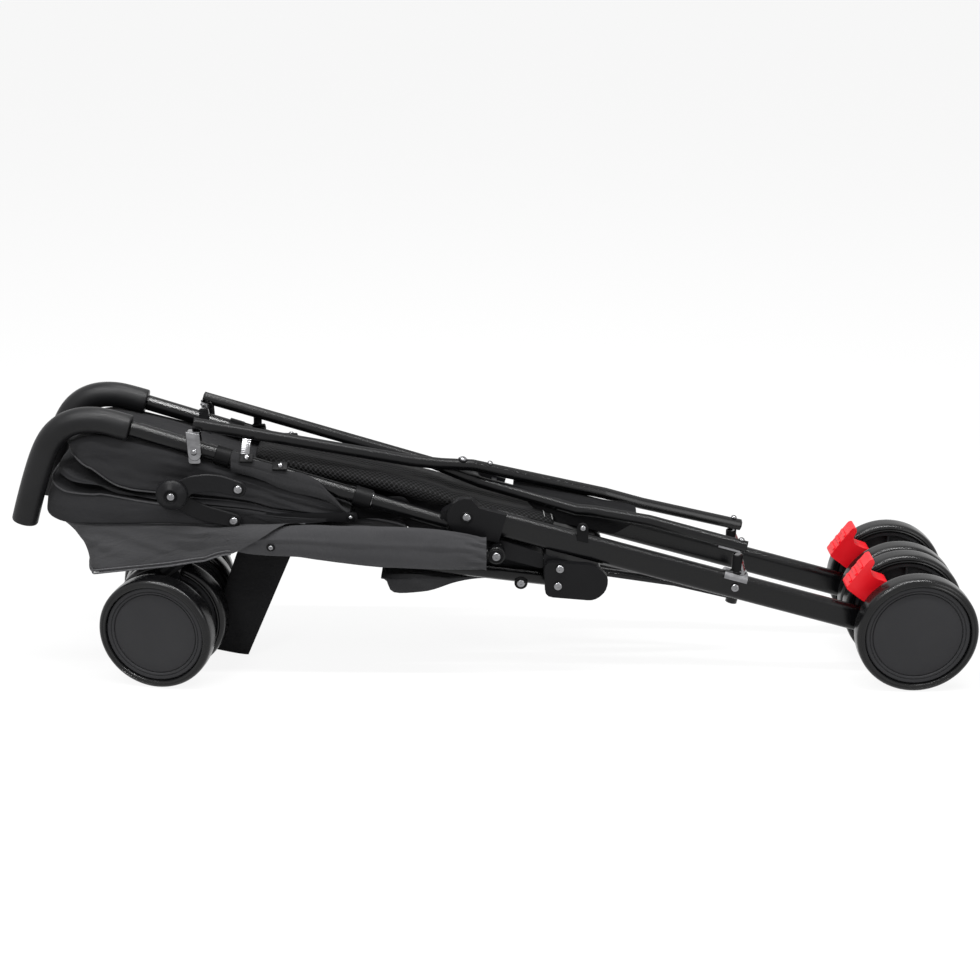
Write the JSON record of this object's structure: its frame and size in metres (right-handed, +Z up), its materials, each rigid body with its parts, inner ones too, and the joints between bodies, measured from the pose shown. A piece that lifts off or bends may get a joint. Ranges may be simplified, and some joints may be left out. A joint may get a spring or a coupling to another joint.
{
  "type": "compact stroller",
  "caption": "Folded compact umbrella stroller with curved foam grips, twin front and rear wheels, a crossed brace, folded canopy and seat cloth, and brake pedals.",
  "frame": {"origin": "on the floor under the middle of the folded stroller's bounding box", "axes": "+X from the handles to the rear wheels, +Y from the stroller's left side to its right side, +Z up; the stroller lies folded on its wheels with its back upwards"},
  "size_m": [1.0847, 0.1996, 0.3221],
  "materials": {
    "frame_paint": "satin black paint",
    "black_plastic": "matte black",
    "foam": "matte black foam",
    "tyre": "smooth black with a glossy shoulder",
    "hub_plastic": "satin dark grey",
    "chromed_steel": "chromed",
    "red_plastic": "semi-gloss red",
    "dark_cloth": "dark grey woven",
    "grey_cloth": "mid grey woven",
    "mesh_cloth": "black open mesh"
  },
  "bodies": {
    "left_handle": {"left_handle_tube": "frame_paint", "left_grip": "foam", "left_side_joint": "black_plastic", "left_knee": "black_plastic", "left_brace_saddle": "chromed_steel", "backrest_mesh": "mesh_cloth", "canopy": "dark_cloth"},
    "right_handle": {"right_handle_tube": "frame_paint", "right_grip": "foam", "right_side_joint": "black_plastic", "right_knee": "black_plastic", "right_brace_saddle": "chromed_steel"},
    "left_seat": {"left_seat_tube": "frame_paint", "seat_sling": "grey_cloth", "seat_flap": "dark_cloth"},
    "right_seat": {"right_seat_tube": "frame_paint"},
    "left_front_leg": {"left_front_leg": "frame_paint", "footrest_panel": "dark_cloth"},
    "right_front_leg": {"right_front_leg": "frame_paint"},
    "left_canopy_side": {"left_canopy_bow": "black_plastic", "canopy_visor": "grey_cloth"},
    "right_canopy_side": {"right_canopy_bow": "black_plastic"},
    "left_rear_leg": {"left_rear_leg": "frame_paint", "left_leg_cap": "black_plastic", "left_axle_housing": "black_plastic", "left_leg_bracket": "chromed_steel"},
    "left_brake_pedal": {"left_brake_pedal": "red_plastic"},
    "left_rear_inner_wheel": {"left_rear_inner_tyre": "tyre", "left_rear_inner_hub": "hub_plastic"},
    "left_rear_outer_wheel": {"left_rear_outer_tyre": "tyre", "left_rear_outer_hub": "hub_plastic"},
    "left_caster": {"left_caster_fork": "black_plastic"},
    "left_front_inner_wheel": {"left_front_inner_tyre": "tyre", "left_front_inner_hub": "hub_plastic"},
    "left_front_outer_wheel": {"left_front_outer_tyre": "tyre", "left_front_outer_hub": "hub_plastic"},
    "left_stay_upper": {"left_canopy_stay_upper": "black_plastic"},
    "left_stay_lower": {"left_canopy_stay_lower": "black_plastic"},
    "left_brace_knuckle": {"left_brace_knuckle": "chromed_steel"},
    "left_brace": {"left_brace_bar": "frame_paint"},
    "left_crossbar": {"left_crossbar": "frame_paint"},
    "right_rear_leg": {"right_rear_leg": "frame_paint", "right_leg_cap": "black_plastic", "right_axle_housing": "black_plastic", "right_leg_bracket": "chromed_steel"},
    "right_brake_pedal": {"right_brake_pedal": "red_plastic"},
    "right_rear_inner_wheel": {"right_rear_inner_tyre": "tyre", "right_rear_inner_hub": "hub_plastic"},
    "right_rear_outer_wheel": {"right_rear_outer_tyre": "tyre", "right_rear_outer_hub": "hub_plastic"},
    "right_caster": {"right_caster_fork": "black_plastic"},
    "right_front_inner_wheel": {"right_front_inner_tyre": "tyre", "right_front_inner_hub": "hub_plastic"},
    "right_front_outer_wheel": {"right_front_outer_tyre": "tyre", "right_front_outer_hub": "hub_plastic"},
    "right_stay_upper": {"right_canopy_stay_upper": "black_plastic"},
    "right_stay_lower": {"right_canopy_stay_lower": "black_plastic"},
    "right_brace_knuckle": {"right_brace_knuckle": "chromed_steel"},
    "right_brace": {"right_brace_bar": "frame_paint"},
    "right_crossbar": {"right_crossbar": "frame_paint"}
  },
  "joints": [
    {"name": "frame_fold", "type": "hinge", "parent": "left_handle", "child": "left_rear_leg", "pos_m": [-0.0267, -0.05, 0.199], "axis": [0, -1, 0], "range_deg": [0, 60], "deforming": ["canopy", "canopy_visor", "seat_sling", "seat_flap", "backrest_mesh", "footrest_panel"]},
    {"name": "right_leg_fold", "type": "hinge", "parent": "right_handle", "child": "right_rear_leg", "pos_m": [-0.0267, 0.05, 0.199], "axis": [0, -1, 0], "range_deg": [0, 60.5]},
    {"name": "frame_width", "type": "slide", "parent": "left_handle", "child": "right_handle", "axis": [0, 1, 0], "range_m": [0, 0.2735]},
    {"name": "seat_fold", "type": "hinge", "parent": "left_handle", "child": "left_seat", "pos_m": [0.0063, -0.0775, 0.16], "axis": [0, -1, 0], "range_deg": [0, 110.5]},
    {"name": "seat_width", "type": "slide", "parent": "left_seat", "child": "right_seat", "axis": [0, 1, 0], "range_m": [0, 0.2735]},
    {"name": "front_leg_fold", "type": "hinge", "parent": "left_handle", "child": "left_front_leg", "pos_m": [0.0763, -0.038, 0.113], "axis": [0, -1, 0], "range_deg": [0, 166.5]},
    {"name": "front_leg_width", "type": "slide", "parent": "left_front_leg", "child": "right_front_leg", "axis": [0, 1, 0], "range_m": [0, 0.2735]},
    {"name": "canopy_fold", "type": "hinge", "parent": "left_handle", "child": "left_canopy_side", "pos_m": [-0.1557, -0.064, 0.199], "axis": [0, -1, 0], "range_deg": [0, 43]},
    {"name": "canopy_width", "type": "slide", "parent": "left_canopy_side", "child": "right_canopy_side", "axis": [0, 1, 0], "range_m": [0, 0.2735]},
    {"name": "left_brake", "type": "hinge", "parent": "left_rear_leg", "child": "left_brake_pedal", "pos_m": [0.4493, -0.05, 0.104], "axis": [0, -1, 0], "range_deg": [0, 16]},
    {"name": "left_rear_inner_spin", "type": "hinge", "parent": "left_rear_leg", "child": "left_rear_inner_wheel", "pos_m": [0.4793, -0.014, 0.0685], "axis": [0, 1, 0], "continuous": true},
    {"name": "left_rear_outer_spin", "type": "hinge", "parent": "left_rear_leg", "child": "left_rear_outer_wheel", "pos_m": [0.4793, -0.086, 0.0685], "axis": [0, 1, 0], "continuous": true},
    {"name": "left_caster_swivel", "type": "hinge", "parent": "left_front_leg", "child": "left_caster", "pos_m": [-0.3357, -0.052, 0.158], "axis": [-0.775, 0, -0.632], "range_deg": [-12, 12]},
    {"name": "left_front_inner_spin", "type": "hinge", "parent": "left_caster", "child": "left_front_inner_wheel", "pos_m": [-0.36836, -0.02738, 0.066], "axis": [0.1736, 0.9848, 0], "continuous": true},
    {"name": "left_front_outer_spin", "type": "hinge", "parent": "left_caster", "child": "left_front_outer_wheel", "pos_m": [-0.37704, -0.07662, 0.066], "axis": [0.1736, 0.9848, 0], "continuous": true},
    {"name": "left_stay_upper_turn", "type": "hinge", "parent": "left_handle", "child": "left_stay_upper", "pos_m": [-0.2777, -0.076, 0.236], "axis": [0, -1, 0], "range_deg": [0, 69.5]},
    {"name": "left_stay_elbow", "type": "hinge", "parent": "left_stay_upper", "child": "left_stay_lower", "pos_m": [-0.3507, -0.073, 0.23], "axis": [0, -1, 0], "range_deg": [-92, 0]},
    {"name": "left_brace_rock", "type": "hinge", "parent": "left_handle", "child": "left_brace_knuckle", "pos_m": [-0.3277, -0.05, 0.28911], "axis": [0, -1, 0], "range_deg": [0, 31]},
    {"name": "left_brace_swing", "type": "hinge", "parent": "left_brace_knuckle", "child": "left_brace", "pos_m": [-0.3277, -0.05, 0.3035], "axis": [0.2461, 0, 0.9693], "range_deg": [0, 27.5]},
    {"name": "left_crossbar_swing", "type": "hinge", "parent": "left_handle", "child": "left_crossbar", "pos_m": [0.0923, -0.022, 0.1215], "axis": [0.1951, 0, 0.9808], "range_deg": [0, 48]},
    {"name": "right_brake", "type": "hinge", "parent": "right_rear_leg", "child": "right_brake_pedal", "pos_m": [0.4493, 0.05, 0.104], "axis": [0, -1, 0], "range_deg": [0, 16]},
    {"name": "right_rear_inner_spin", "type": "hinge", "parent": "right_rear_leg", "child": "right_rear_inner_wheel", "pos_m": [0.4793, 0.014, 0.0685], "axis": [0, 1, 0], "continuous": true},
    {"name": "right_rear_outer_spin", "type": "hinge", "parent": "right_rear_leg", "child": "right_rear_outer_wheel", "pos_m": [0.4793, 0.086, 0.0685], "axis": [0, 1, 0], "continuous": true},
    {"name": "right_caster_swivel", "type": "hinge", "parent": "right_front_leg", "child": "right_caster", "pos_m": [-0.3357, 0.052, 0.158], "axis": [-0.775, 0, -0.632], "range_deg": [-12, 12]},
    {"name": "right_front_inner_spin", "type": "hinge", "parent": "right_caster", "child": "right_front_inner_wheel", "pos_m": [-0.36836, 0.02738, 0.066], "axis": [-0.1736, 0.9848, 0], "continuous": true},
    {"name": "right_front_outer_spin", "type": "hinge", "parent": "right_caster", "child": "right_front_outer_wheel", "pos_m": [-0.37704, 0.07662, 0.066], "axis": [-0.1736, 0.9848, 0], "continuous": true},
    {"name": "right_stay_upper_turn", "type": "hinge", "parent": "right_handle", "child": "right_stay_upper", "pos_m": [-0.2777, 0.076, 0.236], "axis": [0, -1, 0], "range_deg": [0, 69.5]},
    {"name": "right_stay_elbow", "type": "hinge", "parent": "right_stay_upper", "child": "right_stay_lower", "pos_m": [-0.3507, 0.073, 0.23], "axis": [0, -1, 0], "range_deg": [-92, 0]},
    {"name": "right_brace_rock", "type": "hinge", "parent": "right_handle", "child": "right_brace_knuckle", "pos_m": [-0.3307, 0.05, 0.29007], "axis": [0, -1, 0], "range_deg": [0, 31]},
    {"name": "right_brace_swing", "type": "hinge", "parent": "right_brace_knuckle", "child": "right_brace", "pos_m": [-0.3307, 0.05, 0.304], "axis": [0.2461, 0, 0.9693], "range_deg": [-27.5, 0]},
    {"name": "right_crossbar_swing", "type": "hinge", "parent": "right_handle", "child": "right_crossbar", "pos_m": [0.0923, 0.022, 0.1152], "axis": [0.1951, 0, 0.9808], "range_deg": [-48, 0]}
  ],
  "couplings": [
    {"joint": "right_leg_fold", "follows": "frame_fold", "ratio": 1},
    {"joint": "frame_width", "follows": "frame_fold", "m_per_rad": 0.2606},
    {"joint": "seat_fold", "follows": "frame_fold", "ratio": 1.8333},
    {"joint": "seat_width", "follows": "frame_fold", "m_per_rad": 0.2606},
    {"joint": "front_leg_fold", "follows": "frame_fold", "ratio": 2.7667},
    {"joint": "front_leg_width", "follows": "frame_fold", "m_per_rad": 0.2606},
    {"joint": "canopy_fold", "follows": "frame_fold", "ratio": 0.70833},
    {"joint": "canopy_width", "follows": "frame_fold", "m_per_rad": 0.2606},
    {"joint": "left_stay_upper_turn", "follows": "frame_fold", "ratio": 1.1467},
    {"joint": "left_stay_elbow", "follows": "frame_fold", "ratio": -1.5183},
    {"joint": "left_brace_rock", "follows": "frame_fold", "ratio": 0.50633},
    {"joint": "left_brace_swing", "follows": "frame_fold", "ratio": 0.43273},
    {"joint": "left_crossbar_swing", "follows": "frame_fold", "ratio": 0.79167},
    {"joint": "right_stay_upper_turn", "follows": "frame_fold", "ratio": 1.1467},
    {"joint": "right_stay_elbow", "follows": "frame_fold", "ratio": -1.5183},
    {"joint": "right_brace_rock", "follows": "frame_fold", "ratio": 0.4936},
    {"joint": "right_brace_swing", "follows": "frame_fold", "ratio": -0.43957},
    {"joint": "right_crossbar_swing", "follows": "frame_fold", "ratio": -0.79167}
  ]
}
